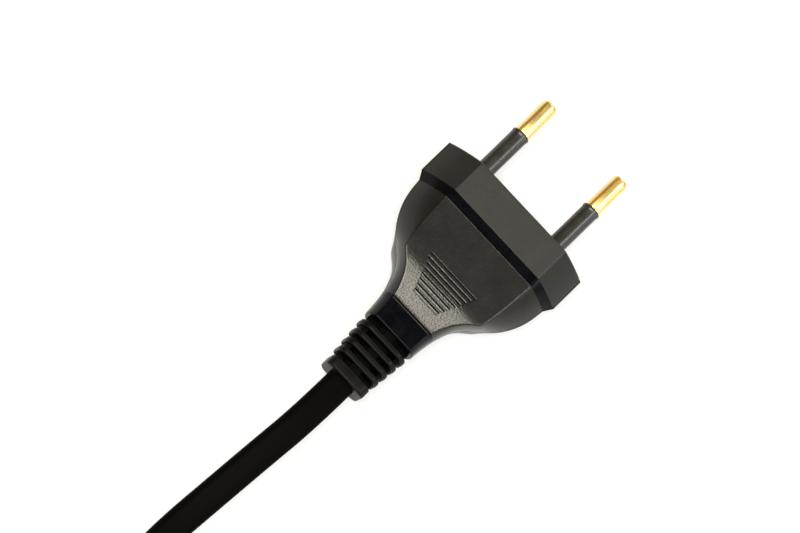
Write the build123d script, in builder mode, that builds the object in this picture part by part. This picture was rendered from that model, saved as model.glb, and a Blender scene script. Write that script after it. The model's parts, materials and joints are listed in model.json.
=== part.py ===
"""Flat two-pin mains plug, moulded onto a flat two-core cord.

Millimetres, +Z up. The origin is the centre of the engagement face, midway between the pins: +Y runs out
along the pins, X across the flange, and Z = 0 is the parting plane of the mould. The plug lies on the flat
underside of its flange. Left is -X and right is +X.
"""

from build123d import *

import math
import os

# Flange, the wide front end with the engagement face
flange_width = 35.3
flange_thickness = 13.7
flange_depth = 7.4
flange_flat = 22.3  # width of its flat top and underside
side_bulge = 0.37  # how far the sloping sides stand out from straight
edge_round = 0.3

# Shoulder, the chamfer from the flange down to the grip
shoulder_inset = 1.0
shoulder_depth = 1.8
shoulder_overlap = 0.5  # how far the grip and the shoulder reach into one another

# Grip, from the shoulder to the neck. The widths are those at the parting plane.
waist_y = -21.25  # where the outline turns from convex to concave
waist_width = 21.7
slope_start_y = -19.5  # the top is flat up to here and then falls to the neck
slope_end_fall = 0.1  # how steeply it still falls where it meets the neck
# How far each side wall leans in, at the height of the flat top and part of the way up
shoulder_lean = 5.15
waist_lean = 0.75
neck_lean = 2.1
neck_end_lean = 1.8
mid_share = 0.55  # height of the part of the way up
waist_lean_mid = 0.2
neck_lean_mid = 0.65
neck_end_lean_mid = 0.45
# Slopes of the outline at the shoulder, at the waist from both sides, and at the neck, from low to high
LOW_SLOPES = (5.0, 47.0, 49.0, 5.0)
MID_SLOPES = (4.0, 33.0, 49.0, 5.0)
TOP_SLOPES = (3.0, 8.0, 50.0, 5.0)

# Neck, the plain block between the grip and the strain relief
neck_y = -28.9
neck_width = 12.6
neck_end_y = -33.8
neck_end_width = 11.7
neck_rise = 4.4  # half thickness where the grip's slope ends
neck_lip = 0.3  # step from there down to the block
neck_lip_run = 0.45

# Finger grooves across the top and the underside
groove_count = 8
groove_pitch = 0.95
groove_width = 0.56
groove_depth = 0.5
groove_start_y = -18.7
groove_longest = 11.8
groove_shortest = 6.2

# Strain relief: rings joined by posts and side webs in turn
ring_count = 4
ring_pitch = 2.15
ring_thickness = 1.15
first_ring_gap = 1.35
last_ring_gap = 1.25
ring_width = 11.2
ring_taper = 0.42  # each ring is this much narrower than the one before
relief_height = 7.4
relief_flat = 5.9  # width of the flat top of every ring
collar_length = 2.15
collar_width = 9.4
post_width = 2.3
post_drop = 0.45  # posts and side webs stay this far inside the rings
window_width = 6.6
membrane_thickness = 1.3  # the web at the parting plane

# Pins
pin_spacing = 19.0
pin_length = 19.0  # from the engagement face
pin_diameter = 3.2
shank_diameter = 2.6  # under the sleeve
pin_tip_cone = 0.75
pin_tip_diameter = 1.7
tip_slit_width = 0.32
tip_slit_length = 0.9
pin_stop_diameter = 4.8
pin_stop_thickness = 1.2
barrel_length = 6.0
barrel_width = 3.2
barrel_height = 2.5

# Insulating sleeves
sleeve_length = 11.0  # from the engagement face
sleeve_diameter = 3.6
sleeve_rim_diameter = 3.8
sleeve_rim_length = 0.8

# Pin carrier
carrier_width = 27.0
carrier_height = 8.6
carrier_plate = 2.2
boss_diameter = 6.0
boss_length = 6.0  # from the engagement face

# Cord: two cores side by side in one flat sheath
core_diameter = 2.2
core_gap = 0.2
conductor_diameter = 1.2
sheath_wall = 0.6
sheath_wall_thin = 0.65
sheath_start_y = -26.5
core_bend = 3.0
core_straight = 3.0  # straight stretch of core at the barrel
core_fan = 2.5  # straight stretch of core at the sheath

# Cord outside the plug, put away in a hank past the edge of the picture
hank_turn_radius = 21.0  # middle of the outer turns at the ends of the hank
hank_columns = 2
hank_layers = 3
hank_length = 96.0
lead_in = 15.2  # stretch of cord that joins the hank from the side
tie_thickness = 0.6
tie_width = 5.0
end_core_length = 13.0
ferrule_length = 6.0
ferrule_diameter = 1.7
ferrule_rim = 2.1
ferrule_rim_length = 0.5
tie_clearance = 2.5
ferrule_clearance = 1.0

# Worked out from the above
floor_z = -flange_thickness / 2
shoulder_y = -(flange_depth + shoulder_depth)
shoulder_end_y = shoulder_y - shoulder_overlap
shoulder_stretch = 1 + shoulder_overlap / shoulder_depth
shoulder_fall = shoulder_inset * shoulder_stretch
grip_front_y = shoulder_y + shoulder_overlap
grip_rise = flange_thickness / 2 - shoulder_inset
grip_width = flange_width - 2 * shoulder_inset
grip_flat = grip_width - 2 * shoulder_lean
shoulder_flat = flange_flat + shoulder_stretch * (grip_flat - flange_flat)
grip_bulge = side_bulge * math.hypot(shoulder_lean, grip_rise) / grip_rise
block_rise = neck_rise - neck_lip
pin_x = pin_spacing / 2
core_offset = (core_diameter + core_gap) / 2
cord_width = 2 * core_diameter + core_gap + 2 * sheath_wall
cord_thickness = core_diameter + 2 * sheath_wall_thin
cord_round = 0.49 * cord_thickness
ring_gap = ring_pitch - ring_thickness
collar_y = neck_end_y - first_ring_gap - ring_count * ring_pitch + ring_gap - last_ring_gap
relief_end_y = collar_y - collar_length
cord_z = floor_z + cord_thickness / 2

SIDES = {"left": -1, "right": 1}

# The cord's route from the collar to the hank, chosen by hand
CORD_ROUTE = [
    (0.0, relief_end_y, 0.0),
    (0.0, -55.5, 0.0),
    (-0.75, -66.0, -1.5),
    (-1.35, -77.0, -3.8),
    (-1.9, -86.0, cord_z),
    (-1.9, -93.0, cord_z),
]


def slope(degrees):
    """Direction of a right-hand outline that runs back along -Y and inwards at this angle."""
    return (-math.sin(math.radians(degrees)), -math.cos(math.radians(degrees)))


def sloping_section(width, flat, thickness, bulge):
    """Flat top and underside, and bulging sides that meet in a line at the parting plane."""
    with BuildSketch(mode=Mode.PRIVATE) as section:
        with BuildLine():
            top = Line((0, thickness / 2), (flat / 2, thickness / 2))
            side = SagittaArc(top @ 1, (width / 2, 0), bulge)
            Line(side @ 1, (0, 0))
            Line((0, 0), (0, thickness / 2))
        make_face()
        mirror(about=Plane.XZ)
        mirror(about=Plane.YZ)
    return section.sketch


def grip_outline(leans, slopes):
    """Right half of the grip and neck from above, at one height."""
    widths = (grip_width, waist_width, neck_width, neck_end_width)
    shoulder, waist, neck, end = (width / 2 - lean for width, lean in zip(widths, leans))
    with BuildSketch(mode=Mode.PRIVATE) as outline:
        with BuildLine():
            front = Line((0, grip_front_y), (shoulder, grip_front_y))
            convex = Spline(front @ 1, (waist, waist_y), tangents=[slope(a) for a in slopes[:2]])
            hollow = Spline(convex @ 1, (neck, neck_y), tangents=[slope(a) for a in slopes[2:]])
            straight = Line(hollow @ 1, (end, neck_end_y))
            back = Line(straight @ 1, (0, neck_end_y))
            Line(back @ 1, front @ 0)
        make_face()
    return outline.sketch


def side_outline(drop):
    """The grip and neck from the side: the flat top, its slope, the lip and the neck, all lowered by a drop."""
    with BuildSketch(mode=Mode.PRIVATE) as outline:
        with BuildLine():
            flat = Line((grip_front_y, grip_rise - drop), (slope_start_y, grip_rise - drop))
            fall = Spline(
                flat @ 1,
                (neck_y + neck_lip_run / 2, neck_rise - drop),
                tangents=[(-1, 0), (-1, -slope_end_fall)],
            )
            lip = Line(fall @ 1, (neck_y - neck_lip_run / 2, block_rise - drop))
            block = Line(lip @ 1, (neck_end_y, block_rise - drop))
            back = Line(block @ 1, (neck_end_y, 0))
            middle = Line(back @ 1, (grip_front_y, 0))
            Line(middle @ 1, flat @ 0)
        make_face()
        mirror(about=Plane.XZ)
    return outline.sketch


def cord_section():
    """The flat cord's outline."""
    return RectangleRounded(cord_width, cord_thickness, cord_round)


# Grip and neck: walls lofted through outlines at three heights, then cut to the side outline
LEVELS = [
    (0, (0, 0, 0, 0), LOW_SLOPES),
    (
        mid_share * grip_rise,
        (mid_share * shoulder_lean - grip_bulge, waist_lean_mid, neck_lean_mid, neck_end_lean_mid),
        MID_SLOPES,
    ),
    (grip_rise, (shoulder_lean, waist_lean, neck_lean, neck_end_lean), TOP_SLOPES),
]
with BuildPart() as grip:
    for height, leans, slopes in LEVELS:
        with BuildSketch(Plane.XY.offset(height)):
            add(grip_outline(leans, slopes))
    loft()
    mirror(about=Plane.YZ)
    mirror(about=Plane.XY)
    with BuildSketch(Plane.YZ.offset(-flange_width / 2)):
        add(side_outline(0))
    extrude(amount=flange_width, mode=Mode.INTERSECT)

# Finger grooves, cut to an even depth below the top and the underside
with BuildPart() as grooves:
    with BuildSketch(Plane.XY.offset(-flange_thickness)):
        for i in range(groove_count):
            share = i / (groove_count - 1)
            long = groove_longest + share * (groove_shortest - groove_longest)
            with Locations((0, groove_start_y - i * groove_pitch)):
                Rectangle(long, groove_width)
    extrude(amount=2 * flange_thickness)
    with BuildSketch(Plane.YZ.offset(-flange_width / 2)):
        add(side_outline(groove_depth))
    extrude(amount=flange_width, mode=Mode.SUBTRACT)

# Strain relief
with BuildPart() as relief:
    ring_front = neck_end_y - first_ring_gap
    for i in range(ring_count):
        width = ring_width - i * ring_taper
        with BuildSketch(Plane.XZ.offset(-(ring_front - i * ring_pitch))):
            RectangleRounded(width, relief_height, (width - relief_flat) / 2)
        extrude(amount=ring_thickness)
    with BuildSketch(Plane.XZ.offset(-collar_y)):
        RectangleRounded(collar_width, relief_height, (collar_width - relief_flat) / 2)
    extrude(amount=collar_length)
    crests = relief.edges().filter_by(Plane.XZ)
    fillet(crests, edge_round)
    # the web at the parting plane, from the neck to the collar
    with BuildSketch(Plane.XY.offset(-membrane_thickness / 2)):
        with BuildLine():
            Polyline(
                (ring_width / 2 - post_drop, neck_end_y),
                (collar_width / 2 - post_drop, collar_y),
                (-collar_width / 2 + post_drop, collar_y),
                (-ring_width / 2 + post_drop, neck_end_y),
                close=True,
            )
        make_face()
    extrude(amount=membrane_thickness)
    for i in range(ring_count + 1):
        # gap i lies before ring i, and the last one before the collar
        front = neck_end_y if i == 0 else ring_front - (i - 1) * ring_pitch - ring_thickness
        long = first_ring_gap if i == 0 else ring_gap
        if i == ring_count:
            long = front - collar_y
        width = ring_width - (i - 0.5) * ring_taper - 2 * post_drop
        with BuildSketch(Plane.XZ.offset(-front)):
            if i % 2 == 0:
                Rectangle(post_width, relief_height - 2 * post_drop)
            else:
                RectangleRounded(
                    width, relief_height - 2 * post_drop, (width - relief_flat) / 2
                )
                Rectangle(window_width, relief_height, mode=Mode.SUBTRACT)
        extrude(amount=long)

# Pin carrier: a plate with a boss round each pin
with BuildPart() as pin_carrier:
    with BuildSketch(Plane.XZ):
        RectangleRounded(carrier_width, carrier_height, 0.49 * carrier_height)
    extrude(amount=carrier_plate)
    with BuildSketch(Plane.XZ):
        with Locations((-pin_x, 0), (pin_x, 0)):
            Circle(boss_diameter / 2)
    extrude(amount=boss_length)
    with BuildSketch(Plane.XZ):
        with Locations((-pin_x, 0), (pin_x, 0)):
            Circle(sleeve_diameter / 2)
    extrude(amount=boss_length, mode=Mode.SUBTRACT)
pin_carrier.part.label = "pin_carrier"

stop_y = -boss_length
barrel_y = stop_y - pin_stop_thickness
barrel_end_y = barrel_y - barrel_length
pins, sleeves, cores, conductors = {}, {}, {}, {}
for side, sign in SIDES.items():
    axis_plane = Plane(origin=(sign * pin_x, 0, 0), x_dir=(1, 0, 0), z_dir=(0, 0, 1))

    # Brass pin: stop, shank, thicker bare end with a coned tip, and a flattened crimp barrel
    with BuildPart() as pin:
        with BuildSketch(axis_plane):
            with BuildLine():
                Polyline(
                    (0, barrel_y),
                    (pin_stop_diameter / 2, barrel_y),
                    (pin_stop_diameter / 2, stop_y),
                    (shank_diameter / 2, stop_y),
                    (shank_diameter / 2, sleeve_length),
                    (pin_diameter / 2, sleeve_length),
                    (pin_diameter / 2, pin_length - pin_tip_cone),
                    (pin_tip_diameter / 2, pin_length),
                    (0, pin_length),
                    close=True,
                )
            make_face()
        revolve(axis=Axis((sign * pin_x, 0, 0), (0, 1, 0)))
        with BuildSketch(Plane.XZ.offset(-barrel_y)):
            with Locations((sign * pin_x, 0)):
                RectangleRounded(barrel_width, barrel_height, 0.45 * barrel_height)
        extrude(amount=barrel_length)
        with BuildSketch(Plane.XZ.offset(-barrel_end_y)):
            with Locations((sign * pin_x, 0)):
                Circle(conductor_diameter / 2)
        extrude(amount=-(barrel_length - pin_stop_thickness), mode=Mode.SUBTRACT)
        # the slit left in the tip where the rolled metal closes
        with BuildSketch(Plane.XY):
            with Locations((sign * pin_x, pin_length)):
                Rectangle(tip_slit_width, 2 * tip_slit_length)
        extrude(amount=pin_diameter, mode=Mode.SUBTRACT)
    pin.part.label = f"pin_{side}"
    pins[side] = pin

    # Insulating sleeve, with a thicker rim at its outer end
    with BuildPart() as sleeve:
        with BuildSketch(axis_plane):
            with BuildLine():
                Polyline(
                    (shank_diameter / 2, stop_y),
                    (sleeve_diameter / 2, stop_y),
                    (sleeve_diameter / 2, sleeve_length - sleeve_rim_length),
                    (sleeve_rim_diameter / 2, sleeve_length - sleeve_rim_length / 3),
                    (sleeve_diameter / 2 - 0.05, sleeve_length),
                    (shank_diameter / 2, sleeve_length),
                    close=True,
                )
            make_face()
        revolve(axis=Axis((sign * pin_x, 0, 0), (0, 1, 0)))
    sleeve.part.label = f"pin_sleeve_{side}"
    sleeves[side] = sleeve

    # The core runs from the crimp barrel in to the end of the sheath
    core_x = sign * core_offset
    with BuildLine() as core_route:
        FilletPolyline(
            (sign * pin_x, barrel_end_y, 0),
            (sign * pin_x, barrel_end_y - core_straight, 0),
            (core_x, sheath_start_y + core_fan, 0),
            (core_x, sheath_start_y, 0),
            radius=core_bend,
        )
    core_end = Plane(origin=(sign * pin_x, barrel_end_y, 0), x_dir=(1, 0, 0), z_dir=(0, -1, 0))
    with BuildPart() as conductor:
        with BuildSketch(core_end):
            Circle(conductor_diameter / 2)
        sweep(path=core_route.line)
        with BuildSketch(core_end):
            Circle(conductor_diameter / 2)
        extrude(amount=-(barrel_length - pin_stop_thickness))
    conductor.part.label = f"conductor_{side}"
    conductors[side] = conductor

    with BuildPart() as core:
        with BuildSketch(core_end):
            Circle(core_diameter / 2)
        sweep(path=core_route.line)
        add(conductor.part, mode=Mode.SUBTRACT)
    core.part.label = f"core_{side}"
    cores[side] = core

# The stretch of cord held in the neck and the strain relief
with BuildPart() as cord_held:
    with BuildSketch(Plane.XZ.offset(-sheath_start_y)):
        cord_section()
    extrude(amount=sheath_start_y - relief_end_y)
cord_held.part.label = "cord_held"

# Moulded body: flange, shoulder, grip, neck and strain relief in one piece, round what it holds
with BuildPart() as moulded_body:
    with BuildSketch(Plane.XZ):
        add(sloping_section(flange_width, flange_flat, flange_thickness, side_bulge))
    extrude(amount=flange_depth)
    front_edges = moulded_body.edges().filter_by(Plane.XZ).group_by(Axis.Y)[-1]
    fillet(front_edges, edge_round)
    with BuildSketch(Plane.XZ.offset(flange_depth)):
        add(sloping_section(flange_width, flange_flat, flange_thickness, side_bulge))
    with BuildSketch(Plane.XZ.offset(-shoulder_end_y)):
        add(
            sloping_section(
                flange_width - 2 * shoulder_fall,
                shoulder_flat,
                flange_thickness - 2 * shoulder_fall,
                side_bulge,
            )
        )
    loft(ruled=True)
    add(grip.part)
    add(grooves.part, mode=Mode.SUBTRACT)
    add(relief.part)
    add(pin_carrier.part, mode=Mode.SUBTRACT)
    for side in SIDES:
        add(pins[side].part, mode=Mode.SUBTRACT)
        add(sleeves[side].part, mode=Mode.SUBTRACT)
        add(cores[side].part, mode=Mode.SUBTRACT)
        add(conductors[side].part, mode=Mode.SUBTRACT)
    add(cord_held.part, mode=Mode.SUBTRACT)
moulded_body.part.label = "moulded_body"

# The free cord, as straight runs joined by tangent arcs
route_points = [Vector(*point) for point in CORD_ROUTE]
radii = []
for before, point, after in zip(route_points, route_points[1:], route_points[2:]):
    run_in, run_out = point - before, after - point
    turn = math.radians(run_in.get_angle(run_out))
    radii.append(0.45 * min(run_in.length, run_out.length) / math.tan(turn / 2))
print("cord bend radii:", [round(radius, 1) for radius in radii])
with BuildLine() as cord_line:
    FilletPolyline(*CORD_ROUTE, radius=radii)
with BuildPart() as cord_run:
    with BuildSketch(Plane(origin=CORD_ROUTE[0], x_dir=(1, 0, 0), z_dir=(0, -1, 0))):
        cord_section()
    sweep(path=cord_line.line)
cord_run.part.label = "cord_run"
section_area = cord_held.part.volume / (sheath_start_y - relief_end_y)
swept = section_area * cord_line.wire().length
print(f"cord run: {cord_run.part.volume:.2f} mm3, section times length {swept:.2f} mm3")

# The hank: turns of cord on edge, two side by side and three high
hank_bottom = floor_z + tie_thickness
hank_height = hank_layers * cord_width
hank_outer = hank_turn_radius + cord_thickness / 2
hank_inner = hank_outer - hank_columns * cord_thickness
hank_straight = hank_length - 2 * hank_outer
hank_x = CORD_ROUTE[-1][0] - cord_width / 2 + hank_outer
hank_near_y = CORD_ROUTE[-1][1] - lead_in
hank_mid_y = hank_near_y - hank_straight / 2
end_column_x = hank_x - hank_inner - cord_thickness / 2
end_y = hank_mid_y - tie_width / 2 - tie_clearance
end_z = hank_bottom + hank_height - cord_width / 2
end_length = end_core_length + ferrule_length
with BuildPart() as cord_hank:
    with BuildSketch(Plane.XY.offset(hank_bottom)):
        with Locations((hank_x, hank_mid_y)):
            SlotCenterToCenter(hank_straight, 2 * hank_outer, rotation=90)
            SlotCenterToCenter(hank_straight, 2 * hank_inner, rotation=90, mode=Mode.SUBTRACT)
    extrude(amount=hank_height)
    with BuildSketch(Plane(origin=CORD_ROUTE[-1], x_dir=(1, 0, 0), z_dir=(0, -1, 0))):
        cord_section()
    extrude(amount=lead_in + cord_width)
    # the end of the cord stops short on the top of the inner turns
    with BuildSketch(Plane.XZ.offset(-end_y)):
        with Locations((end_column_x, end_z)):
            Rectangle(cord_thickness, cord_width)
    extrude(amount=end_length + ferrule_clearance, mode=Mode.SUBTRACT)
cord_hank.part.label = "cord_hank"

with BuildPart() as hank_tie:
    with BuildSketch(Plane.XZ.offset(-(hank_mid_y + tie_width / 2))):
        with Locations((hank_x, hank_bottom + hank_height / 2)):
            RectangleRounded(2 * (hank_outer + tie_thickness), hank_height + 2 * tie_thickness, tie_thickness)
            Rectangle(2 * hank_outer, hank_height, mode=Mode.SUBTRACT)
    extrude(amount=tie_width)
hank_tie.part.label = "hank_tie"

end_pieces = []
for side, sign in SIDES.items():
    core_centre = (end_column_x, end_z + sign * core_offset)
    ferrule_y = end_y - end_core_length
    with BuildPart() as end_core:
        with BuildSketch(Plane.XZ.offset(-end_y)):
            with Locations(core_centre):
                Circle(core_diameter / 2)
        extrude(amount=end_core_length)
    end_core.part.label = f"end_core_{side}"
    with BuildPart() as end_ferrule:
        with BuildSketch(Plane.XZ.offset(-ferrule_y)):
            with Locations(core_centre):
                Circle(ferrule_rim / 2)
        extrude(amount=ferrule_rim_length)
        with BuildSketch(Plane.XZ.offset(-ferrule_y)):
            with Locations(core_centre):
                Circle(ferrule_diameter / 2)
        extrude(amount=ferrule_length)
    end_ferrule.part.label = f"end_ferrule_{side}"
    end_pieces += [end_core, end_ferrule]

pieces = [moulded_body, pin_carrier, cord_held, cord_run, cord_hank, hank_tie, *end_pieces]
for group in (pins, sleeves, cores, conductors):
    pieces += group.values()
os.makedirs("parts", exist_ok=True)
for piece in pieces:
    export_step(piece.part, f"parts/{piece.part.label}.step")
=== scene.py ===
# %% [markdown]
# # A moulded two-pin plug on a flat cord
#
# The object is a flat mains plug of the kind that can't be opened: two brass pins in a hard carrier, one
# black PVC body moulded round them and round the end of a flat two-core cord. It lies on a white surface
# and is seen nearly from above.
#
# Nothing on it is an unknown shape. The body is one section (a flat top and underside with bulging sides)
# that changes its width and height along the plug, the pins are turned, and the cord is one outline carried
# along a line. So each piece here is a surface worked out with numpy: a formula gives every point at once,
# and the mesh is made from those points. The lengths are in millimetres, as on the maker's drawing, and
# become metres when a mesh is made.

import json
import math

import bpy
import numpy as np
from mathutils import Matrix, Vector

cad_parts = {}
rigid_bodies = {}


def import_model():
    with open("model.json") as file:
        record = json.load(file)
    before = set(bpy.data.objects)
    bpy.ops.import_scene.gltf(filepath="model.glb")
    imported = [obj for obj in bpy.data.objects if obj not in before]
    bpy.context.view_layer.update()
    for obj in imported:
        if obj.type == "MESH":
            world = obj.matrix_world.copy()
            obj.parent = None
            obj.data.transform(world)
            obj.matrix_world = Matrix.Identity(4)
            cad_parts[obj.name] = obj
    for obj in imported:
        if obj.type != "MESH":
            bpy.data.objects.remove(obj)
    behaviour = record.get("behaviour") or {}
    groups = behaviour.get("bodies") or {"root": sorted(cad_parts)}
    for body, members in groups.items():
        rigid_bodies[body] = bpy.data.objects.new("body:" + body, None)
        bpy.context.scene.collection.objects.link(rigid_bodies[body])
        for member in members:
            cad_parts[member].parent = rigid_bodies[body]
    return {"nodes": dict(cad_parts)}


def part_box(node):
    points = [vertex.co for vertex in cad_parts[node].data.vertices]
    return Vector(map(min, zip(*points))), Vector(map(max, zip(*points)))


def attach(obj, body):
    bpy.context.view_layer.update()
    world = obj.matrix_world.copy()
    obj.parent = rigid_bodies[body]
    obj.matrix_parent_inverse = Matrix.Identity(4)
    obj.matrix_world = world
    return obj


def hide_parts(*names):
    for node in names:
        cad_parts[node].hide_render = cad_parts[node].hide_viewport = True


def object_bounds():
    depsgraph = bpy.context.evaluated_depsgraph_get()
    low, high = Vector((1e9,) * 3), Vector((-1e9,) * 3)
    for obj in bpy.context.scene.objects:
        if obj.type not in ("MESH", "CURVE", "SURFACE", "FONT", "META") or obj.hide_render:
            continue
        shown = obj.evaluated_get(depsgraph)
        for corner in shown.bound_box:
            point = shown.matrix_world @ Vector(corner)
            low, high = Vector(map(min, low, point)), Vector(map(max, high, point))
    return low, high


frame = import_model()
cad_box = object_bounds()
MM = 0.001
print("nodes in the frame:", len(frame["nodes"]))
print("CAD box:", cad_box)

# %% [markdown]
# ## Camera
#
# The photograph looks down on the plug from slightly behind it, and the pins point up and to the right of
# the picture. The camera is given by three directions that were measured on the object: the direction
# towards the camera, and the way the plug's own X and Y axes run in the picture. A long lens from far away
# keeps the parallel edges as parallel as they are in the photograph.

# %% Camera
CAMERA_FROM = Vector((-0.0652, -0.2584, 0.9638)).normalized()
PINS_ACROSS = 0.7175  # how much of the pins' direction runs to the right of the picture
PINS_UP = 0.6966  # and how much of it runs up
AIM = Vector((-7.62, -23.1, 0.0)) * MM  # the point in the middle of the picture
CAMERA_DISTANCE = 1.6
VIEW_WIDTH = 146.25 * MM  # width of the picture, measured at the plug
SENSOR = 36.0

pins_seen = (Vector((0, 1, 0)) - CAMERA_FROM * CAMERA_FROM.y).normalized()
beside_pins = pins_seen.cross(CAMERA_FROM)
right = PINS_ACROSS * pins_seen + PINS_UP * beside_pins
up = CAMERA_FROM.cross(right)
camera_data = bpy.data.cameras.new("camera")
camera_data.sensor_width = SENSOR
camera_data.lens = SENSOR * CAMERA_DISTANCE / VIEW_WIDTH
camera_data.clip_start = 0.05
camera_data.clip_end = 20
camera = bpy.data.objects.new("camera", camera_data)
bpy.context.scene.collection.objects.link(camera)
turn = Matrix((right, up, CAMERA_FROM)).transposed().to_4x4()
camera.matrix_world = Matrix.Translation(AIM + CAMERA_DISTANCE * CAMERA_FROM) @ turn
bpy.context.scene.camera = camera
print("lens:", round(camera_data.lens, 1), "mm")

# %% [markdown]
# ## From points to a mesh
#
# Every surface here is a grid: rows of points that each go once round the piece. One helper joins
# neighbouring points with quads, closes both ends with a fan round a middle point, and turns the faces so
# that they point outwards. It knows which way is outwards from the sign of the enclosed volume.

# %% Closed skins


def inside_out(vertices, quads, triangles):
    """Whether the faces point inwards. Over all triangles a, b, c, the sum of a . (b x c) is six times the
    volume that they enclose, and it is negative when they point inwards."""
    halves = np.concatenate([quads[:, [0, 1, 2]], quads[:, [0, 2, 3]], triangles])
    a, b, c = (vertices[halves[:, k]] for k in range(3))
    return np.einsum("ij,ij->i", a, np.cross(b, c)).sum() < 0


def closed_rows(rows):
    """Vertices, quads and triangles of a closed skin. rows[i, j] is point j of ring i; the rings are joined
    by quads, and each end ring is closed by a fan round its mean point."""
    count, around, _ = rows.shape
    middles = np.stack([rows[0].mean(axis=0), rows[-1].mean(axis=0)])
    vertices = np.concatenate([rows.reshape(-1, 3), middles])
    i, j = np.meshgrid(np.arange(count - 1), np.arange(around), indexing="ij")
    after = (j + 1) % around
    quads = np.stack([i * around + j, i * around + after, (i + 1) * around + after, (i + 1) * around + j], -1)
    edge = np.arange(around)
    front = np.stack([np.full(around, count * around), (edge + 1) % around, edge], -1)
    last = (count - 1) * around
    back = np.stack([np.full(around, count * around + 1), last + edge, last + (edge + 1) % around], -1)
    triangles = np.concatenate([front, back])
    quads = quads.reshape(-1, 4)
    if inside_out(vertices, quads, triangles):
        quads, triangles = quads[:, ::-1], triangles[:, ::-1]
    return vertices, quads, triangles


def closed_both_ways(rows):
    """Vertices, quads and no triangles of a ring: its rows close on themselves, and so do its columns."""
    count, around, _ = rows.shape
    i, j = np.meshgrid(np.arange(count), np.arange(around), indexing="ij")
    next_i, next_j = (i + 1) % count, (j + 1) % around
    corners = [i * around + j, i * around + next_j, next_i * around + next_j, next_i * around + j]
    quads = np.stack(corners, axis=-1).reshape(-1, 4)
    vertices, no_triangles = rows.reshape(-1, 3), np.empty((0, 3), int)
    if inside_out(vertices, quads, no_triangles):
        quads = quads[:, ::-1]
    return vertices, quads, no_triangles


# %% [markdown]
# A second helper makes the Blender object. It hands whole arrays to the mesh with foreach_set, which is much
# faster than adding faces one by one.

# %% Adding a piece


def add_piece(name, skins, materials, node_names, smooth_angle=35.0, zone=None, skin_of=closed_rows):
    """One mesh object from a list of grids in millimetres, which rides on the object and stands for these
    CAD nodes. Edges sharper than the angle stay sharp. With several materials, zone says from the middles
    of the faces which one each face takes. skin_of closes a grid and gives its faces."""
    points, loops, sizes = [], [], []
    start = 0
    for rows in skins:
        vertices, quads, triangles = skin_of(rows)
        points.append(vertices)
        loops += [(quads + start).ravel(), (triangles + start).ravel()]
        sizes += [np.full(len(quads), 4), np.full(len(triangles), 3)]
        start += len(vertices)
    points, loops, sizes = np.concatenate(points) * MM, np.concatenate(loops), np.concatenate(sizes)
    mesh = bpy.data.meshes.new(name)
    mesh.vertices.add(len(points))
    mesh.vertices.foreach_set("co", points.ravel())
    mesh.loops.add(len(loops))
    mesh.loops.foreach_set("vertex_index", loops)
    mesh.polygons.add(len(sizes))
    mesh.polygons.foreach_set("loop_start", np.concatenate([[0], np.cumsum(sizes)[:-1]]))
    mesh.update(calc_edges=True)
    mesh.validate()
    mesh.shade_smooth()
    mesh.set_sharp_from_angle(angle=math.radians(smooth_angle))
    for material in materials:
        mesh.materials.append(material)
    if zone is not None:
        middles = np.empty(3 * len(mesh.polygons))
        mesh.polygons.foreach_get("center", middles)
        mesh.polygons.foreach_set("material_index", zone(middles.reshape(-1, 3) / MM))
    piece = bpy.data.objects.new(name, mesh)
    bpy.context.scene.collection.objects.link(piece)
    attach(piece, "root")
    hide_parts(*node_names)
    print(name, "faces:", len(mesh.polygons))
    return piece


# %% [markdown]
# Two curves are used again and again. A spline through a few measured points gives an outline that bends
# evenly between them, and an ease goes from 0 to 1 without a kink at either end.

# %% Curves


def smooth_curve(y, knots):
    """Values at y on the natural cubic spline through (y, value) knots: between two knots it is a cubic,
    and the bends at the knots are solved for so that the cubics join with one slope and one bend."""
    at, value = np.array(sorted(knots)).T
    gap = np.diff(at)
    system = np.eye(len(at))
    target = np.zeros(len(at))
    inner = np.arange(1, len(at) - 1)
    system[inner, inner - 1] = gap[:-1]
    system[inner, inner] = 2 * (gap[:-1] + gap[1:])
    system[inner, inner + 1] = gap[1:]
    target[inner] = 6 * np.diff(np.diff(value) / gap)
    bend = np.linalg.solve(system, target)
    k = np.clip(np.searchsorted(at, y) - 1, 0, len(gap) - 1)
    before, after, width = at[k + 1] - y, y - at[k], gap[k]
    return (
        (bend[k] * before**3 + bend[k + 1] * after**3) / (6 * width)
        + (value[k] / width - bend[k] * width / 6) * before
        + (value[k + 1] / width - bend[k + 1] * width / 6) * after
    )


def ease(share):
    """0 to 1 with a level start and a level end: 3 t^2 - 2 t^3."""
    share = np.clip(share, 0, 1)
    return share * share * (3 - 2 * share)


# %% [markdown]
# ## Finishes
#
# The whole plug is black PVC, but it isn't one finish. The mould was spark-eroded on the flange and the
# grip, which leaves a fine matt grain that sparkles where a lamp grazes it. The shoulder and the neck came
# off polished steel and are smooth and darker, and the strain relief is in between. One picture of the whole
# surface could show all that, but it would be coarse close up. Noise nodes are sharp at any distance, so
# each finish is a material of noise, and each face of the body takes the one of its own zone.
#
# Every pattern reads Object coordinates, which are metres here: a noise of scale 1000 has about one blob to
# a millimetre.

# %% Helpers for materials


def new_material(name):
    """A node material and its Principled shader."""
    material = bpy.data.materials.new(name)
    material.use_nodes = True
    return material, material.node_tree.nodes, material.node_tree.links


def noise(nodes, links, coordinates, scale, detail=3.0, roughness=0.55):
    """A noise pattern with this many blobs to one unit of the coordinates."""
    texture = nodes.new("ShaderNodeTexNoise")
    texture.inputs["Scale"].default_value = scale
    texture.inputs["Detail"].default_value = detail
    texture.inputs["Roughness"].default_value = roughness
    links.new(coordinates, texture.inputs["Vector"])
    return texture.outputs["Fac"]


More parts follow.
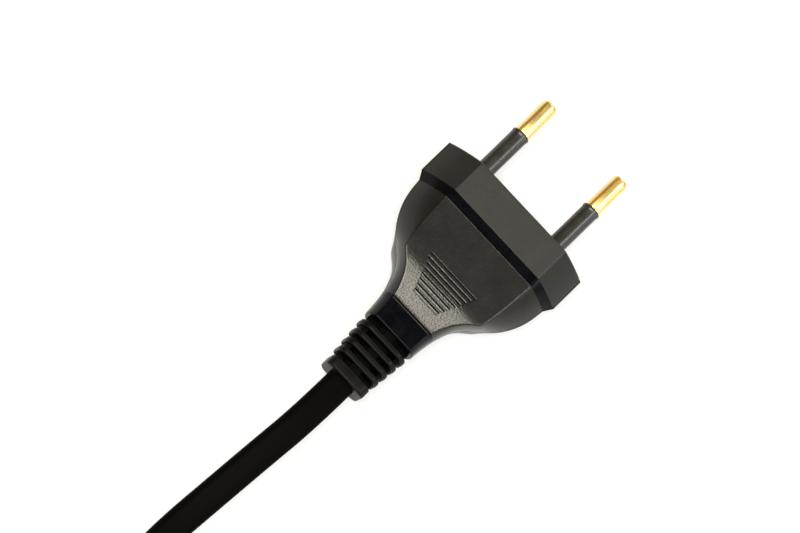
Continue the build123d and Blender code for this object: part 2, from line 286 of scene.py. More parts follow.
def remap(nodes, links, value, low, high, to_low=0.0, to_high=1.0):
    """The value's range from low to high, carried to another range."""
    node = nodes.new("ShaderNodeMapRange")
    node.inputs["From Min"].default_value = low
    node.inputs["From Max"].default_value = high
    node.inputs["To Min"].default_value = to_low
    node.inputs["To Max"].default_value = to_high
    links.new(value, node.inputs["Value"])
    return node.outputs["Result"]


def spread(nodes, links, pattern, to_low=0.0, to_high=1.0):
    """A noise pattern, most of which lies between 0.3 and 0.7, carried to a whole range."""
    return remap(nodes, links, pattern, 0.3, 0.7, to_low, to_high)


def blend_colours(nodes, links, share, first, second):
    """From the first colour to the second as share goes from 0 to 1."""
    node = nodes.new("ShaderNodeMix")
    node.data_type = "RGBA"
    links.new(share, node.inputs[0])
    for socket, colour in ((6, first), (7, second)):
        if isinstance(colour, tuple):
            node.inputs[socket].default_value = (*colour, 1)
        else:
            links.new(colour, node.inputs[socket])
    return node.outputs[2]


def combine(nodes, links, operation, first, second):
    """One Math node on two values, either of which may be a plain number."""
    node = nodes.new("ShaderNodeMath")
    node.operation = operation
    for socket, value in enumerate((first, second)):
        if isinstance(value, (int, float)):
            node.inputs[socket].default_value = value
        else:
            links.new(value, node.inputs[socket])
    return node.outputs[0]


def add_bump(nodes, links, height, strength, microns, normal=None):
    """A bump of this many thousandths of a millimetre, on top of another bump if one is given."""
    bump = nodes.new("ShaderNodeBump")
    bump.inputs["Strength"].default_value = strength
    bump.inputs["Distance"].default_value = microns * 1e-6
    links.new(height, bump.inputs["Height"])
    if normal is not None:
        links.new(normal, bump.inputs["Normal"])
    return bump.outputs["Normal"]


# %% [markdown]
# The grained finish has two bumps, one coarse and one fine, because an eroded surface is rough at every
# size. It is duller on the flange than on the grip, which one gradient along the plug takes care of. A black
# plastic shows little of its own colour: what the eye sees is how strongly and how sharply it mirrors the
# lamps, so the finishes differ most in Specular IOR Level and Roughness.

# %% Black PVC of the moulded body
SHOULDER_Y = -7.4  # where the flange ends and the shoulder starts
TONE_BLEND = 0.6  # over this length the flange's tone becomes the grip's
FINE_GRAIN, COARSE_GRAIN = 3600, 2700  # blobs per metre
WARM_SHINE = (1.0, 0.965, 0.885)  # tint of the grained faces' shine
GRIP_ROUGHNESS = (0.24, 0.28)  # in the glossier and the duller patches of the mottle
FLANGE_DULLER = 0.2  # the flange's roughness is higher by this
FLANGE_TONE = ((0.0088, 0.0087, 0.0074), (0.0120, 0.0118, 0.0101))  # darkest and lightest
GRIP_TONE = ((0.0056, 0.0054, 0.0046), (0.0088, 0.0086, 0.0074))
BLUE_BLACK = ((0.0012, 0.0012, 0.0022), (0.0030, 0.0029, 0.0038))
WARM_BLACK = ((0.0018, 0.0018, 0.0016), (0.0032, 0.0032, 0.0028))
# The darkest tones below are painted shade, for the gaps between the rings and the cord in them.
PAINTED_SHADE_BLACK = ((0.0010, 0.0010, 0.0009), (0.0020, 0.0020, 0.0018))


def grained_pvc(name, specular):
    """Spark-eroded PVC: a coarse and a fine noise bump and a slight mottle. The flange is duller and paler
    than the grip."""
    material, nodes, links = new_material(name)
    shader = nodes["Principled BSDF"]
    shader.inputs["Specular IOR Level"].default_value = specular
    shader.inputs["Specular Tint"].default_value = (*WARM_SHINE, 1)
    place = nodes.new("ShaderNodeTexCoord").outputs["Object"]
    split = nodes.new("ShaderNodeSeparateXYZ")
    links.new(place, split.inputs[0])
    on_flange = remap(nodes, links, split.outputs["Y"], (SHOULDER_Y - TONE_BLEND) * MM, SHOULDER_Y * MM)
    mottle = noise(nodes, links, place, scale=230, detail=4.0, roughness=0.6)
    patch = spread(nodes, links, mottle)
    flange_tone = blend_colours(nodes, links, patch, *FLANGE_TONE)
    grip_tone = blend_colours(nodes, links, patch, *GRIP_TONE)
    links.new(blend_colours(nodes, links, on_flange, grip_tone, flange_tone), shader.inputs["Base Color"])
    rough = spread(nodes, links, mottle, *GRIP_ROUGHNESS)
    duller = combine(nodes, links, "MULTIPLY", on_flange, FLANGE_DULLER)
    links.new(combine(nodes, links, "ADD", rough, duller), shader.inputs["Roughness"])
    blobs = noise(nodes, links, place, COARSE_GRAIN, detail=2.0, roughness=0.5)
    coarse = add_bump(nodes, links, blobs, strength=0.44, microns=80)
    specks = noise(nodes, links, place, FINE_GRAIN, detail=2.0, roughness=0.6)
    links.new(add_bump(nodes, links, specks, 0.5, 40, coarse), shader.inputs["Normal"])
    return material


def smooth_pvc(name, specular, roughness, tones, tint=(1.0, 1.0, 1.0)):
    """PVC without the coarse grain, and darker. tones are its darkest and its lightest colour."""
    material, nodes, links = new_material(name)
    shader = nodes["Principled BSDF"]
    shader.inputs["Specular IOR Level"].default_value = specular
    shader.inputs["Specular Tint"].default_value = (*tint, 1)
    place = nodes.new("ShaderNodeTexCoord").outputs["Object"]
    mottle = noise(nodes, links, place, scale=420, detail=4.0, roughness=0.6)
    patch = spread(nodes, links, mottle)
    links.new(blend_colours(nodes, links, patch, *tones), shader.inputs["Base Color"])
    links.new(spread(nodes, links, mottle, roughness - 0.04, roughness + 0.04), shader.inputs["Roughness"])
    specks = noise(nodes, links, place, FINE_GRAIN, detail=2.0, roughness=0.6)
    links.new(add_bump(nodes, links, specks, strength=0.25, microns=20), shader.inputs["Normal"])
    return material


grained = grained_pvc("black_pvc_grained", specular=0.38)
# Painted shade: the sides are the same grained PVC as the top; this copy mirrors about half as much, which
# darkens them.
grained_side_painted_shade = grained_pvc("black_pvc_side_painted_shade", specular=0.20)
polished = smooth_pvc("black_pvc_polished", specular=0.08, roughness=0.17, tones=BLUE_BLACK)
satin = smooth_pvc("black_pvc_satin", specular=0.10, roughness=0.38, tones=WARM_BLACK, tint=(1.0, 0.97, 0.90))
# Painted shade: the ring gaps and the held cord are the same PVC, made darker and nearly shineless for their
# shade.
painted_shade_finish = smooth_pvc("black_pvc_painted_shade", specular=0.02, roughness=0.55, tones=PAINTED_SHADE_BLACK)
body_finishes = [grained, polished, satin, painted_shade_finish, grained_side_painted_shade]
print("finishes of the body:", [finish.name for finish in body_finishes])

# %% [markdown]
# The cord's sheath is extruded and soft: a deep black with hardly any shine and faint lines along it. The
# cord bends, so a pattern on Object coordinates would run across it in places. Its lines read the cord's own
# UV map instead, in which U is the way round the cord and V the way along it, both in centimetres. The
# sleeves, the carrier, the tie and the cores are plain plastics that differ in colour, gloss and grain.

# %% Sheath, carrier, sleeves and small parts
SHEATH_TONE = ((0.0012, 0.0011, 0.0010), (0.0026, 0.0024, 0.0022))
LIGHTER = 1.35  # a plastic's lightest patches, as a multiple of its colour


def plain_plastic(name, colour, roughness, grain_scale, microns):
    """A moulded plastic with a slight mottle in its gloss and a fine grain of this height."""
    material, nodes, links = new_material(name)
    shader = nodes["Principled BSDF"]
    place = nodes.new("ShaderNodeTexCoord").outputs["Object"]
    mottle = noise(nodes, links, place, scale=500)
    lighter = tuple(LIGHTER * part for part in colour)
    tint = blend_colours(nodes, links, spread(nodes, links, mottle), colour, lighter)
    links.new(tint, shader.inputs["Base Color"])
    links.new(spread(nodes, links, mottle, roughness - 0.04, roughness + 0.05), shader.inputs["Roughness"])
    specks = noise(nodes, links, place, grain_scale, detail=2.0)
    links.new(add_bump(nodes, links, specks, 0.5, microns), shader.inputs["Normal"])
    return material


def sheath_material():
    """Extruded black PVC: a noise that changes three times as fast round the cord as along it, which draws
    it out into lines."""
    material, nodes, links = new_material("cord_sheath")
    shader = nodes["Principled BSDF"]
    shader.inputs["Specular IOR Level"].default_value = 0.012
    uv = nodes.new("ShaderNodeTexCoord").outputs["UV"]
    stretch = nodes.new("ShaderNodeMapping")
    stretch.inputs["Scale"].default_value = (60, 20, 1)
    links.new(uv, stretch.inputs["Vector"])
    lines = noise(nodes, links, stretch.outputs[0], scale=1.0)
    links.new(blend_colours(nodes, links, lines, *SHEATH_TONE), shader.inputs["Base Color"])
    links.new(spread(nodes, links, lines, 0.44, 0.54), shader.inputs["Roughness"])
    links.new(add_bump(nodes, links, lines, strength=0.3, microns=10), shader.inputs["Normal"])
    return material


sheath = sheath_material()
sleeve_pvc = plain_plastic("black_sleeve", (0.0115, 0.0110, 0.0086), 0.30, grain_scale=2600, microns=20)
carrier_plastic = plain_plastic("carrier_plastic", (0.012, 0.012, 0.012), 0.42, grain_scale=2200, microns=30)
tie_plastic = plain_plastic("tie_plastic", (0.006, 0.006, 0.006), 0.5, grain_scale=3000, microns=40)
core_blue = plain_plastic("core_blue", (0.012, 0.07, 0.36), 0.38, grain_scale=1800, microns=10)
core_brown = plain_plastic("core_brown", (0.10, 0.032, 0.012), 0.38, grain_scale=1800, microns=10)
print("plastics:", [plastic.name for plastic in (sheath, sleeve_pvc, carrier_plastic, tie_plastic)])

# %% [markdown]
# ## Metals
#
# The pins are brass. Its colour is the metal's own reflection, so the shader's base colour is brass and
# Metallic is 1. Drawn brass has fine lines along the pin. The shader's Anisotropic value would smear its
# shine but show no line, so a noise that is stretched along Y, the pins' direction, draws them instead.

# %% Brass, copper and tin
LINE_STRETCH = 0.06  # the pattern changes this much as fast along Y as across
DULL_PATCHES = (0.42, 0.75)  # values of the noise where the duller colour starts and where it is full


def drawn_metal(name, colour, dull, roughness, line_scale):
    """A metal with fine lines along Y, this many to a metre, and patches of a slightly duller colour."""
    material, nodes, links = new_material(name)
    shader = nodes["Principled BSDF"]
    shader.inputs["Metallic"].default_value = 1.0
    place = nodes.new("ShaderNodeTexCoord").outputs["Object"]
    stretch = nodes.new("ShaderNodeMapping")
    stretch.inputs["Scale"].default_value = (line_scale, LINE_STRETCH * line_scale, line_scale)
    links.new(place, stretch.inputs["Vector"])
    lines = noise(nodes, links, stretch.outputs[0], scale=1.0, detail=4.0)
    patches = remap(nodes, links, noise(nodes, links, place, scale=700), *DULL_PATCHES)
    links.new(blend_colours(nodes, links, patches, colour, dull), shader.inputs["Base Color"])
    links.new(spread(nodes, links, lines, roughness - 0.05, roughness + 0.07), shader.inputs["Roughness"])
    links.new(add_bump(nodes, links, lines, strength=0.3, microns=8), shader.inputs["Normal"])
    return material


brass = drawn_metal("pin_brass", (0.91, 0.65, 0.25), (0.85, 0.57, 0.20), 0.29, 5200)
copper = drawn_metal("copper_strands", (0.72, 0.32, 0.18), (0.55, 0.22, 0.11), 0.30, 4000)
tin = drawn_metal("ferrule_tin", (0.62, 0.62, 0.60), (0.50, 0.50, 0.49), 0.28, 4200)
print("metals:", brass.name, copper.name, tin.name)

# %% [markdown]
# ## The cord
#
# One flat cord, 5.8 mm wide and 3.5 mm thick. It leaves the collar, sinks to the floor and runs out of the
# picture. There the rest of its 1.2 m is put away in a hank, which lies with the cord on edge: two turns
# side by side and three high. The route's control points are listed and a NURBS spline rounds
# them. The turns of the hank are more points of the same spline: a formula works them out, and each turn
# changes its place a step before the turn under it, so that no two strands want the same place.

# %% Route of the cord
CORD_WIDTH = 5.8
CORD_THICKNESS = 3.5
CORD_CORNER = 1.715  # nearly half the thickness, so the narrow sides are almost round
FLOOR_Z = -6.85
TIE_THICKNESS = 0.6

CORD_EXIT = (0.0, -46.15, 0.0)
CORD_ROUTE = [
    CORD_EXIT,
    (0.0, -55.5, 0.0),
    (-0.75, -66.0, -1.5),
    (-1.35, -77.0, -3.8),
    (-1.9, -86.0, -5.1),
    (-1.9, -93.0, -5.1),
]

# %% Turns of the hank
RUN = 50.5  # length of the hank's straights
tie_low, tie_high = (np.array(corner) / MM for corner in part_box("hank_tie"))
HANK_X = (tie_low[0] + tie_high[0]) / 2
NEAR_Y = (tie_low[1] + tie_high[1]) / 2 + RUN / 2
OUTER, INNER = 21.0, 17.5  # radius of the round ends, in the outer and the inner column
MIDDLE = (OUTER + INNER) / 2
ROUND_END = math.pi * MIDDLE  # length of one round end
TURN_LENGTH = 2 * (RUN + ROUND_END)
LAYERS = 3
LAYER_Z = [FLOOR_Z + TIE_THICKNESS + CORD_WIDTH * (layer + 0.5) for layer in range(LAYERS)]
# place of each turn as (column radius, height), and where along the turn it moves on to the next place
PLACES = [
    (OUTER, LAYER_Z[0]),
    (INNER, LAYER_Z[0]),
    (INNER, LAYER_Z[1]),
    (OUTER, LAYER_Z[1]),
    (OUTER, LAYER_Z[2]),
    (INNER, LAYER_Z[2]),
]
MOVES = [(167, 211), (139, 171), (119, 143), (90, 122), (50, 94)]
LAST_TURN = len(PLACES) - 1
END_RUN = 30.25  # the last turn stops this far along its first straight
POINTS_PER_TURN = 32
NEVER = (1e6, 2e6)  # the last turn moves on only past the cord's end


def hank_points():
    """Points of the turns: each lies at a distance u round an oval of two straights and two half circles,
    with a column radius and a height that ease from one place to the next."""
    step = TURN_LENGTH / POINTS_PER_TURN
    total = LAST_TURN * TURN_LENGTH + END_RUN
    distance = np.append(np.arange(0, total - 0.5 * step, step), total)
    turn_number = np.minimum((distance // TURN_LENGTH).astype(int), LAST_TURN)
    u = distance - turn_number * TURN_LENGTH
    places = np.array(PLACES)
    following = places[np.minimum(turn_number + 1, LAST_TURN)]
    move_from, move_to = np.array(MOVES + [NEVER])[turn_number].T
    share = ease((u - move_from) / (move_to - move_from))
    radius, height = (places[turn_number] + share[:, None] * (following - places[turn_number])).T
    far_turn = math.pi + (u - RUN) / MIDDLE
    near_turn = (u - 2 * RUN - ROUND_END) / MIDDLE
    stretches = [u < RUN, u < RUN + ROUND_END, u < 2 * RUN + ROUND_END]
    x = np.select(stretches, [-radius, radius * np.cos(far_turn), radius], radius * np.cos(near_turn))
    y = np.select(
        stretches,
        [-u, -RUN + radius * np.sin(far_turn), -RUN + (u - RUN - ROUND_END)],
        radius * np.sin(near_turn),
    )
    return np.stack([HANK_X + x, NEAR_Y + y, height], axis=-1)


LEAD_X = HANK_X - OUTER  # where the first straight of the hank lies
LEAD_IN = [(LEAD_X + 0.6, -97.0, -4.5), (LEAD_X + 0.1, -101.5, -3.75), (LEAD_X, -105.5, -3.4)]
route = np.concatenate([CORD_ROUTE, LEAD_IN, hank_points()])
print("control points of the cord:", len(route))

# %% [markdown]
# Blender turns the control points into a line. A curve with no bevel becomes a mesh of edges, and its
# points are read back: these are what the sheath follows. The curve could carry the outline as its own bevel
# object, with a tilt at each point, but then Blender would choose how the outline starts out turned, and
# the UV map would not be in centimetres.

# %% The cord's line
SAME_PLACE = 1e-4  # points nearer than this to the one before are left out


def nurbs_line(points, resolution):
    """Points along the quadratic NURBS spline with these control points, in millimetres."""
    curve = bpy.data.curves.new("cord_line", "CURVE")
    curve.dimensions = "3D"
    curve.resolution_u = resolution
    spline = curve.splines.new("NURBS")
    spline.points.add(len(points) - 1)
    spline.points.foreach_set("co", np.column_stack([points * MM, np.ones(len(points))]).ravel())
    spline.order_u = 3
    spline.use_endpoint_u = True
    holder = bpy.data.objects.new("cord_line", curve)
    line = bpy.data.meshes.new_from_object(holder)
    found = np.empty(3 * len(line.vertices))
    line.vertices.foreach_get("co", found)
    bpy.data.objects.remove(holder)
    bpy.data.curves.remove(curve)
    bpy.data.meshes.remove(line)
    found = found.reshape(-1, 3) / MM
    keep = np.append(True, np.linalg.norm(np.diff(found, axis=0), axis=1) > SAME_PLACE)
    return found[keep]


cord_line = nurbs_line(route, resolution=6)
cord_steps = np.linalg.norm(np.diff(cord_line, axis=0), axis=1)
cord_distance = np.append(0, np.cumsum(cord_steps))

# %% [markdown]
# The sheath's outline has two flat faces and rounded edges. It is carried along the line in a frame of
# three directions: the line's own, one across the wide side and one across the thin side. The cord lies
# flat up to the hank and then turns on edge, so the wide direction turns from level to upright there. It is
# worked out from the upright direction at every point, and not from the point before, so small errors don't
# add up over more than a metre of cord.

# %% Sheath of the cord
TWIST_FROM, TWIST_TO = 46.0, 62.0  # distance along the cord where it turns on edge


def rounded_outline(width, height, corner, per_corner):
    """Outline of a rounded rectangle: a quarter circle about each corner's centre, one after the other."""
    angle = np.linspace(0, math.pi / 2, per_corner)
    angles = np.concatenate([angle + quarter * math.pi / 2 for quarter in range(4)])
    sign_x = np.repeat([1, -1, -1, 1], per_corner)
    sign_z = np.repeat([1, 1, -1, -1], per_corner)
    x = sign_x * (width / 2 - corner) + corner * np.cos(angles)
    z = sign_z * (height / 2 - corner) + corner * np.sin(angles)
    return np.stack([x, z], axis=-1)


def unit(vectors):
    """Each vector divided by its length."""
    return vectors / np.linalg.norm(vectors, axis=-1, keepdims=True)


def swept_cord(line, distance, outline):
    """The outline carried along the line. Across is level and square to the line, above is square to
    both, and the wide side turns from across to above by the twist angle."""
    ahead = unit(np.gradient(line, axis=0))
    across = unit(np.cross(ahead, [0, 0, 1]))
    above = np.cross(across, ahead)
    twist = ease((distance - TWIST_FROM) / (TWIST_TO - TWIST_FROM)) * math.pi / 2
    wide = np.cos(twist)[:, None] * across + np.sin(twist)[:, None] * above
    thin = np.cross(wide, ahead)
    return line[:, None] + outline[None, :, :1] * wide[:, None] + outline[None, :, 1:] * thin[:, None]


cord_outline = rounded_outline(CORD_WIDTH, CORD_THICKNESS, CORD_CORNER, 7)
cord_rows = swept_cord(cord_line, cord_distance, cord_outline)
cord = add_piece("cord", [cord_rows], [sheath], ["cord_run", "cord_hank"])

# %% [markdown]
# Vertex number n of the sheath is point n mod k of ring n div k, where k is the number of points in a ring.
# That gives every corner of every face its place round the cord and along it, which is its UV. The middle
# points of the two end faces come last and take the UV of the last ring.

# %% UV map of the sheath
CENTIMETRES = 0.1  # in a millimetre
around_cord = np.append(0, np.cumsum(np.linalg.norm(np.diff(cord_outline, axis=0), axis=1)))
sheath_uv = cord.data.uv_layers.new(name="UVMap")
corner_vertex = np.empty(len(cord.data.loops), int)
cord.data.loops.foreach_get("vertex_index", corner_vertex)
last_vertex = len(cord_line) * len(around_cord) - 1
row, column = np.divmod(np.minimum(corner_vertex, last_vertex), len(around_cord))
uv = CENTIMETRES * np.stack([around_cord[column], cord_distance[row]], axis=-1)
sheath_uv.data.foreach_set("uv", uv.ravel())
print("UV of the far end:", uv.max(axis=0).round(1))

# %% [markdown]
# ## Ends of the cores and the tie
#
# The free end is stripped: two coloured cores, each in a crimped tin ferrule. They could be cylinders with
# bevelled ends, but the crimps want a waist. So they are turned, as on a lathe: a profile of distance along
# the axis and radius is carried round that axis. The distances start from the boxes of the CAD nodes.

# %% Turned pieces


def turned(profile, centre, around=64):
    """A surface of revolution about a line along Y through centre. profile is (y, radius) pairs: a point is
    the centre plus radius times (cosine, sine) of the angle."""
    y, radius = np.array(profile, float).T
    angle = np.linspace(0, 2 * math.pi, around, endpoint=False)
    x = centre[0] + radius[:, None] * np.cos(angle)
    z = centre[1] + radius[:, None] * np.sin(angle)
    return np.stack([x, np.broadcast_to(y[:, None], x.shape), z], axis=-1)


def node_middle(node):
    """Lowest corner, highest corner and the middle in X and Z of a CAD node, in millimetres."""
    low, high = (np.array(corner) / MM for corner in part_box(node))
    return low, high, ((low[0] + high[0]) / 2, (low[2] + high[2]) / 2)


# %% Stripped cores and ferrules
FERRULE_TUBE = 0.85  # outer radius
CRIMPS_AT = (1.5, 2.7, 3.9)  # distances from the ferrule's rim
CRIMP = [(-0.35, 0.0), (-0.12, 0.13), (0.12, 0.13), (0.35, 0.0)]  # steps along the axis and depths


def core_end(node):
    """The turned insulation of one core, with its corners eased."""
    low, high, centre = node_middle(node)
    radius = (high[0] - low[0]) / 2
    profile = [
        (high[1], radius - 0.05), (high[1] - 0.05, radius), (low[1] + 0.08, radius), (low[1], radius - 0.1),
    ]
    return turned(profile, centre)


def ferrule(node):
    """The turned ferrule: a rim, a thin tube with three crimped waists, and an eased end. The profile is
    written as distances from the rim's end, which lies at the core, and radii."""
    low, high, centre = node_middle(node)
    rim, length = (high[0] - low[0]) / 2, high[1] - low[1]
    crimps = [(at + step, FERRULE_TUBE - dip) for at in CRIMPS_AT for step, dip in CRIMP]
    profile = [
        (0.0, rim - 0.08), (0.08, rim), (0.4, rim), (0.5, rim - 0.1), (0.55, FERRULE_TUBE), *crimps,
        (length - 0.1, FERRULE_TUBE), (length, FERRULE_TUBE - 0.12),
    ]
    return turned([(high[1] - away, radius) for away, radius in profile], centre)


for side, colour, slot in (("left", core_blue, "core_blue"), ("right", core_brown, "core_brown")):
    end_core, end_ferrule = f"end_core_{side}", f"end_ferrule_{side}"
    add_piece(f"core_end_{side}", [core_end(end_core)], [colour], [end_core])
    add_piece(f"ferrule_{side}", [ferrule(end_ferrule)], [tin], [end_ferrule])

# %% [markdown]
# The tie is a thin strap with fine ribs along it. A tube with a Solidify modifier would have the same ribs,
# or none, on both sides. Here its own cross-section, ribs and all, is carried once round the hank, so the
# surface closes on itself both ways, like a ring, and has no ends to close.

# %% Tie round the hank
TIE_CORNER = 1.4
TIE_CLEARANCE = 0.04  # between the strap and the cord
TIE_RIBS, RIB_HEIGHT, POINTS_PER_RIB = 7, 0.07, 6


def strap(node):
    """A closed strap in the node's box. Its rows go round a rounded rectangle, and the columns of each row
    go round the strap's own section: first along the outside, whose depth is a cosine wave, and back along
    the smooth inside."""
    low, high, centre = node_middle(node)
    loop = rounded_outline(high[0] - low[0], high[2] - low[2], TIE_CORNER, 9)
    outward = unit(np.roll(loop, -1, axis=0) - np.roll(loop, 1, axis=0))[:, ::-1] * [1, -1]
    share = np.linspace(0, 1, POINTS_PER_RIB * TIE_RIBS + 1)
    ribbed = RIB_HEIGHT * (1 + np.cos(2 * math.pi * TIE_RIBS * share)) / 2
    depth = np.concatenate([ribbed, np.full(len(share), TIE_THICKNESS - TIE_CLEARANCE)])
    y = low[1] + (high[1] - low[1]) * np.concatenate([share, share[::-1]])
    flat = loop[:, None] - outward[:, None] * depth[None, :, None]
    x, z = flat[..., 0] + centre[0], flat[..., 1] + centre[1]
    return np.stack([x, np.broadcast_to(y, x.shape), z], axis=-1)


add_piece(
    "hank_strap",
    [strap("hank_tie")],
    [tie_plastic],
    ["hank_tie"],
    smooth_angle=40.0,
    skin_of=closed_both_ways,
)

# %% [markdown]

# %% [markdown]
# ## The moulded body
#
# One closed skin from the front face to the end of the neck. It could be a box with many bevels, but the
# grip bends two ways at once, and its crease has to stay crisp. So each row is a section across the plug
# with three sizes: the half width at the parting line, the half height and the half width of the flat top.
# Along the plug these follow the flange, the chamfered shoulder, the S-shaped grip, the lip and the neck.
# The finger grooves are real dips in the same surface: rows crowd together at each groove's walls, and one
# column follows the slanting line of the groove ends.

# %% Sizes of the body
body_high = np.array(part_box("moulded_body")[1]) / MM
FLANGE = (body_high[0], 6.85, 11.15)  # half width, half height, half width of the flat
GRIP_Y = -9.2  # where the shoulder ends and the grip starts
# half width at the parting line, and half width of the flat top on its front and its back stretch
GRIP_WIDTH = [
    (-9.2, 16.58), (-11.3, 16.36), (-13.3, 15.97), (-15.1, 15.36), (-17.0, 14.4), (-18.9, 13.05),
    (-20.8, 11.15), (-22.7, 9.08), (-24.6, 7.75), (-26.5, 7.02), (-28.4, 6.5), (-31.2, 6.06), (-33.8, 5.87),
]
GRIP_FLAT_FRONT = [(-9.2, 11.35), (-13.3, 11.1), (-17.9, 10.74), (-21.0, 10.2), (-24.0, 9.5)]
GRIP_FLAT_BACK = [
    (-20.0, 11.2), (-21.2, 10.05), (-22.7, 8.35), (-24.6, 6.78), (-26.5, 5.78), (-28.4, 5.05), (-29.3, 4.85),
    (-33.8, 4.6),
]
FLAT_EASE = 0.12  # how far the corner between the two stretches is eased
FRONT_ONLY_Y, FRONT_INSET = -19.0, 0.02  # in front of this y the flat is the front stretch less this
GRIP_RISE = 5.85  # half height of the grip's level top
SLOPE_Y, SLOPE, SLOPE_SOFT = -21.75, 0.235, 1.2  # where the top turns down, how steeply and how softly
LIP_Y, LIP_END_Y = -28.5, -29.2  # the lip's edge and its foot
LIP_FRONT, LIP_BACK = 0.26, 0.16  # fine rows from this far in front of the lip's edge to this far behind it
BEAD_HEIGHT, BEAD_HALF, BEAD_AHEAD = 0.018, 0.12, 0.04  # the fine bead on the lip's edge
BLOCK_RISE = 4.0  # half height of the block behind the lip
NECK_END_Y = -33.8

# %% Sizes of the finger grooves
GROOVES, GROOVE_PITCH, GROOVE_Y = 8, 0.95, -18.7
LAST_GROOVE_Y = GROOVE_Y - (GROOVES - 1) * GROOVE_PITCH
GROOVE_DEPTH = 0.5
GROOVE_ENDS = (5.9, 3.1)  # half lengths of the first groove and the last
# how deep a groove is at a distance from its middle: a flat floor, steep walls and rounded lands between
GROOVE_ACROSS = [0.0, 0.17, 0.20, 0.235, 0.265, 0.295, 0.345, 0.405, 0.475]
GROOVE_SHARE = [1.0, 1.0, 0.93, 0.5, 0.2, 0.09, 0.03, 0.005, 0.0]
RIDGE_FROM = GROOVE_ACROSS[4]  # a ridge's top starts this far from the groove's middle


def slope_at(y):
    """Slope of the grip's top at y: half of SLOPE times 1 + d / root(d^2 + softness^2), where d is the
    distance past SLOPE_Y. It goes softly from 0 to SLOPE."""
    past = SLOPE_Y - y
    return SLOPE / 2 * (1 + past / np.sqrt(past**2 + SLOPE_SOFT**2))


def groove_depth(y):
    """Depth below the grip's top at y. It is the groove's, from the nearest groove's middle, and on the
    ridges it is their lean: every ridge top falls back as steeply as the steepest part of the slope."""
    middles = GROOVE_Y - GROOVE_PITCH * np.arange(GROOVES)
    away = np.abs(y[:, None] - middles).min(axis=1)
    share = np.interp(away, GROOVE_ACROSS, GROOVE_SHARE)
    on_ridge = (y < middles[0]) & (y > middles[-1])
    behind = (middles[0] - y) % GROOVE_PITCH - RIDGE_FROM
    behind = np.clip(behind, 0, GROOVE_PITCH - 2 * RIDGE_FROM)
    lean = on_ridge * (SLOPE - slope_at(y)) * behind
    return GROOVE_DEPTH * share + lean * (1 - share)


def grip_sizes(y):
    """Half width, half height and half flat of the grip and neck at y. The flat is the smaller of its two
    stretches, eased: their mean less the root of (half their difference) squared plus a small square. The
    height falls along a hyperbola from the level top to the slope, steps down at the lip, and has a bead
    there, which is a bell curve."""
    width = smooth_curve(y, GRIP_WIDTH)
    front, back = smooth_curve(y, GRIP_FLAT_FRONT), smooth_curve(y, GRIP_FLAT_BACK)
    flat = (front + back) / 2 - np.sqrt(((front - back) / 2) ** 2 + FLAT_EASE**2)
    flat = np.where(y > FRONT_ONLY_Y, front - FRONT_INSET, flat)
    past = SLOPE_Y - np.maximum(y, LIP_END_Y)
    height = GRIP_RISE - SLOPE * (past + np.sqrt(past**2 + SLOPE_SOFT**2)) / 2
    height = height + (BLOCK_RISE - height) * ease((LIP_Y - y) / (LIP_Y - LIP_END_Y))
    height = height + BEAD_HEIGHT * np.exp(-((y - LIP_Y - BEAD_AHEAD) / BEAD_HALF) ** 2)
    return width, height, flat


print("half sizes at the lip:", [round(float(size[0]), 2) for size in grip_sizes(np.array([LIP_Y]))])

# %% [markdown]
# The rows need not be evenly spaced. Long even stretches get few, and each groove wall, the lip and the
# rounded edges of both ends get many, so that the mesh stays light and its small shapes are still sharp.

# %% Rows of the body
EDGE = 0.3  # radius of the rounded edges at both ends
MARGIN = 0.125  # the fine rows of the grooves start and end this far outside them
quarter = np.linspace(0, math.pi / 2, 8)
front_y = -EDGE * (1 - np.cos(quarter))
front_in = EDGE * (1 - np.sin(quarter))
rear_y = NECK_END_Y + EDGE * (1 - np.sin(quarter))
rear_in = EDGE * (1 - np.cos(quarter))

steps = np.array(GROOVE_ACROSS[1:])
groove_y = GROOVE_Y - GROOVE_PITCH * np.arange(GROOVES)[:, None]
groove_rows = (groove_y + np.concatenate([steps, -steps, [0.1, -0.1]])).ravel()
first_wall = GROOVE_Y + GROOVE_ACROSS[-1] + MARGIN
last_wall = LAST_GROOVE_Y - GROOVE_ACROSS[-1] - MARGIN
# from the shoulder to the first groove, the grooves, and on to the lip, over it, down it and along the block
grip_rows = np.concatenate([
    np.linspace(GRIP_Y - 0.06, first_wall, 27),
    groove_rows,
    np.linspace(last_wall, LIP_Y + LIP_FRONT + 0.04, 12),
    np.linspace(LIP_Y + LIP_FRONT, LIP_Y - LIP_BACK, 16),
    np.linspace(LIP_Y - LIP_BACK - 0.04, LIP_END_Y, 10),
    np.linspace(LIP_END_Y - 0.15, NECK_END_Y + EDGE + 0.1, 14),
])
grip_rows = np.unique(np.round(grip_rows, 3))[::-1]

flat_rows = np.linspace(-EDGE - 0.15, SHOULDER_Y + 0.1, 18)
flange_y = np.concatenate([front_y, flat_rows])
flange_in = np.concatenate([front_in, np.zeros(len(flat_rows))])
shoulder_y = np.concatenate([
    SHOULDER_Y + np.array([0.015, 0.0, -0.015, -0.5, -1.0, -1.4]),
    GRIP_Y + np.array([0.02, -0.02]),
])
shoulder_share = np.interp(shoulder_y, [shoulder_y[-1], SHOULDER_Y], [1.0, 0.0])
shoulder_share[1] = 0.003  # eases the corner between flange and shoulder
print("rows on the grip:", len(grip_rows))

# %% Sizes of every row
EDGE_IN = np.array([1.0, 1.0, 0.35])  # how much of the edge's inset width, height and flat take at the front
REAR_IN = np.array([1.0, 1.0, 0.3])  # and at the rear
flange = np.array(FLANGE)
grip_front = np.array([float(size[0]) for size in grip_sizes(shoulder_y[-1:])])
flange_sizes = flange - flange_in[:, None] * EDGE_IN
shoulder_sizes = flange + shoulder_share[:, None] * (grip_front - flange)
neck_end = np.stack(grip_sizes(np.minimum(rear_y, NECK_END_Y + EDGE)), axis=-1)
rear_sizes = neck_end - rear_in[:, None] * REAR_IN

